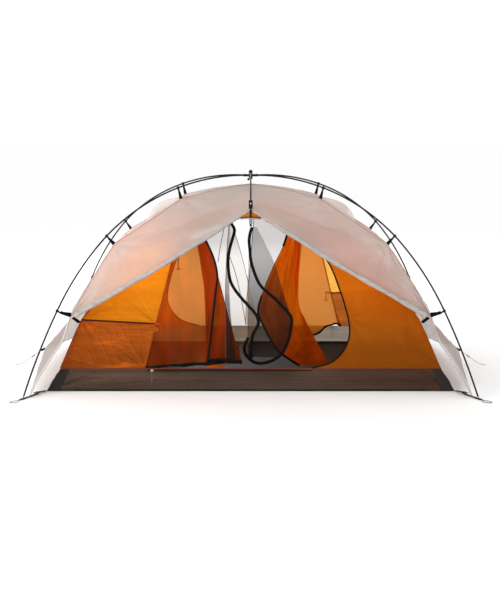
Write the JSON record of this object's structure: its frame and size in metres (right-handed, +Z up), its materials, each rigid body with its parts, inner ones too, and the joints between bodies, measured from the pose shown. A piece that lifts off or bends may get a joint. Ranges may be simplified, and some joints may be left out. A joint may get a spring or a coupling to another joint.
{
  "type": "tent on poles",
  "caption": "Ridge-poled dome tent: arched poles over a translucent fly on clips, with a hung inner tent, tub floor and open zipped doors.",
  "frame": {"origin": "on the ground at the middle of the tent, the bottom centre of its box", "axes": "+X along the floor's length, -Y towards the front door, +Z up"},
  "size_m": [2.824, 1.8068, 1.165],
  "materials": {
    "pole_tube": "satin anodised",
    "insert_metal": "satin",
    "elastic": "braided",
    "tip_metal": "satin",
    "black_plastic": "moulded",
    "fly_cloth": "thin translucent coated nylon",
    "gray_mesh": "fine netting",
    "strut_plastic": "moulded",
    "black_webbing": "woven webbing",
    "tub_cloth": "coated ripstop nylon",
    "zip_tape": "coil zip",
    "pull_cord": "cord",
    "toggle_orange": "cord and bar",
    "guy_cord": "braided cord",
    "orange_cloth": "thin translucent nylon"
  },
  "bodies": {
    "tent": {"clip_hooks": "black_plastic", "clip_straps": "black_webbing", "end_wall_left": "orange_cloth", "end_wall_right": "orange_cloth", "floor": "tub_cloth", "fly_crown": "fly_cloth", "fly_end_left": "fly_cloth", "fly_end_right": "fly_cloth", "fly_front_left": "fly_cloth", "fly_front_right": "fly_cloth", "fly_rear_left": "fly_cloth", "fly_rear_right": "fly_cloth", "front_wall_left": "orange_cloth", "front_wall_right": "orange_cloth", "ground_webbing": "black_webbing", "inner_hangers": "black_webbing", "inner_roof": "orange_cloth", "pole_hub": "black_plastic", "pole_inserts": "insert_metal", "pole_leg_front_left": "pole_tube", "pole_leg_front_right": "pole_tube", "pole_leg_rear_left": "pole_tube", "pole_leg_rear_right": "pole_tube", "pole_tips": "tip_metal", "rear_wall_left": "orange_cloth", "rear_wall_right": "orange_cloth", "ridge_buckles": "black_plastic", "ridge_pole": "pole_tube", "rolled_doors_front": "fly_cloth", "rolled_doors_rear": "fly_cloth", "shock_cords": "elastic", "side_guys": "guy_cord", "stake_loops": "guy_cord", "toggle_tabs": "toggle_orange", "tub_walls": "tub_cloth", "vent_hood_left": "fly_cloth", "vent_hood_right": "fly_cloth", "vent_mesh": "gray_mesh", "wall_tops": "orange_cloth", "zip_chains": "zip_tape"},
    "door_front": {"door_front": "orange_cloth"},
    "door_rear": {"door_rear": "orange_cloth"},
    "guy_tensioner_left": {"guy_tensioner_left": "black_plastic"},
    "guy_tensioner_right": {"guy_tensioner_right": "black_plastic"},
    "ladderlock_front_left": {"ladderlock_front_left": "black_plastic"},
    "ladderlock_front_right": {"ladderlock_front_right": "black_plastic"},
    "ladderlock_rear_left": {"ladderlock_rear_left": "black_plastic"},
    "ladderlock_rear_right": {"ladderlock_rear_right": "black_plastic"},
    "mesh_door_front": {"mesh_door_front": "gray_mesh"},
    "mesh_door_rear": {"mesh_door_rear": "gray_mesh"},
    "toggle_lower_front": {"toggle_lower_front": "toggle_orange"},
    "toggle_lower_rear": {"toggle_lower_rear": "toggle_orange"},
    "toggle_upper_front": {"toggle_upper_front": "toggle_orange"},
    "toggle_upper_rear": {"toggle_upper_rear": "toggle_orange"},
    "vent_strut_left": {"vent_strut_left": "strut_plastic"},
    "vent_strut_right": {"vent_strut_right": "strut_plastic"},
    "zip_pull_front": {"zip_pull_front": "pull_cord"},
    "zip_pull_rear": {"zip_pull_rear": "pull_cord"},
    "zip_slider_front": {"zip_slider_front": "black_plastic"},
    "zip_slider_rear": {"zip_slider_rear": "black_plastic"}
  },
  "joints": [
    {"name": "door_front_swing", "type": "hinge", "parent": "tent", "child": "door_front", "pos_m": [-0.577, -0.61932, 0.122], "axis": [0.2353, 0.3145, 0.9196], "range_deg": [-5, 26]},
    {"name": "mesh_door_front_swing", "type": "hinge", "parent": "tent", "child": "mesh_door_front", "pos_m": [-0.577, -0.61932, 0.122], "axis": [0.2353, 0.3145, 0.9196], "range_deg": [-5, 26]},
    {"name": "door_rear_swing", "type": "hinge", "parent": "tent", "child": "door_rear", "pos_m": [0.577, 0.61932, 0.122], "axis": [-0.2353, -0.3145, 0.9196], "range_deg": [-3, 12]},
    {"name": "mesh_door_rear_swing", "type": "hinge", "parent": "tent", "child": "mesh_door_rear", "pos_m": [0.577, 0.61932, 0.122], "axis": [-0.2353, -0.3145, 0.9196], "range_deg": [-3, 12]},
    {"name": "zip_slide_front", "type": "slide", "parent": "tent", "child": "zip_slider_front", "axis": [1, 0, 0], "range_m": [0, 0.84]},
    {"name": "zip_pull_swing_front", "type": "hinge", "parent": "zip_slider_front", "child": "zip_pull_front", "pos_m": [-0.535, -0.6425, 0.112], "axis": [-1, 0, 0], "range_deg": [0, 150]},
    {"name": "zip_slide_rear", "type": "slide", "parent": "tent", "child": "zip_slider_rear", "axis": [-1, 0, 0], "range_m": [0, 0.84]},
    {"name": "zip_pull_swing_rear", "type": "hinge", "parent": "zip_slider_rear", "child": "zip_pull_rear", "pos_m": [0.535, 0.6425, 0.112], "axis": [1, 0, 0], "range_deg": [0, 150]},
    {"name": "toggle_swing_upper_rear", "type": "hinge", "parent": "tent", "child": "toggle_upper_rear", "pos_m": [0.39912, 0.44964, 0.7], "axis": [0, 1, 0], "range_deg": [-50, 50]},
    {"name": "toggle_swing_upper_front", "type": "hinge", "parent": "tent", "child": "toggle_upper_front", "pos_m": [-0.39912, -0.44964, 0.7], "axis": [0, 1, 0], "range_deg": [-50, 50]},
    {"name": "toggle_swing_lower_rear", "type": "hinge", "parent": "tent", "child": "toggle_lower_rear", "pos_m": [0.48815, 0.56866, 0.352], "axis": [0, 1, 0], "range_deg": [-50, 50]},
    {"name": "toggle_swing_lower_front", "type": "hinge", "parent": "tent", "child": "toggle_lower_front", "pos_m": [-0.48815, -0.56866, 0.352], "axis": [0, 1, 0], "range_deg": [-50, 50]},
    {"name": "vent_strut_fold_left", "type": "hinge", "parent": "tent", "child": "vent_strut_left", "pos_m": [-0.568, 0, 0.905], "axis": [0, 1, 0], "range_deg": [0, 34]},
    {"name": "vent_strut_fold_right", "type": "hinge", "parent": "tent", "child": "vent_strut_right", "pos_m": [0.568, 0, 0.905], "axis": [0, -1, 0], "range_deg": [0, 34]},
    {"name": "ladderlock_tilt_front_left", "type": "hinge", "parent": "tent", "child": "ladderlock_front_left", "pos_m": [-1.13725, -0.70766, 0.011], "axis": [-0.8817, 0.4719, 0], "range_deg": [0, 60]},
    {"name": "ladderlock_tilt_front_right", "type": "hinge", "parent": "tent", "child": "ladderlock_front_right", "pos_m": [1.13725, -0.70766, 0.011], "axis": [-0.8817, -0.4719, 0], "range_deg": [0, 60]},
    {"name": "ladderlock_tilt_rear_left", "type": "hinge", "parent": "tent", "child": "ladderlock_rear_left", "pos_m": [-1.13725, 0.70766, 0.011], "axis": [0.8817, 0.4719, 0], "range_deg": [0, 60]},
    {"name": "ladderlock_tilt_rear_right", "type": "hinge", "parent": "tent", "child": "ladderlock_rear_right", "pos_m": [1.13725, 0.70766, 0.011], "axis": [0.8817, -0.4719, 0], "range_deg": [0, 60]},
    {"name": "guy_adjust_left", "type": "slide", "parent": "tent", "child": "guy_tensioner_left", "axis": [-0.8136, -0.0194, -0.5811], "range_m": [-0.03, 0.03]},
    {"name": "guy_adjust_right", "type": "slide", "parent": "tent", "child": "guy_tensioner_right", "axis": [0.8136, -0.0194, -0.5811], "range_m": [-0.03, 0.03]}
  ],
  "couplings": [
    {"joint": "mesh_door_front_swing", "follows": "door_front_swing", "ratio": 1},
    {"joint": "mesh_door_rear_swing", "follows": "door_rear_swing", "ratio": 1}
  ]
}
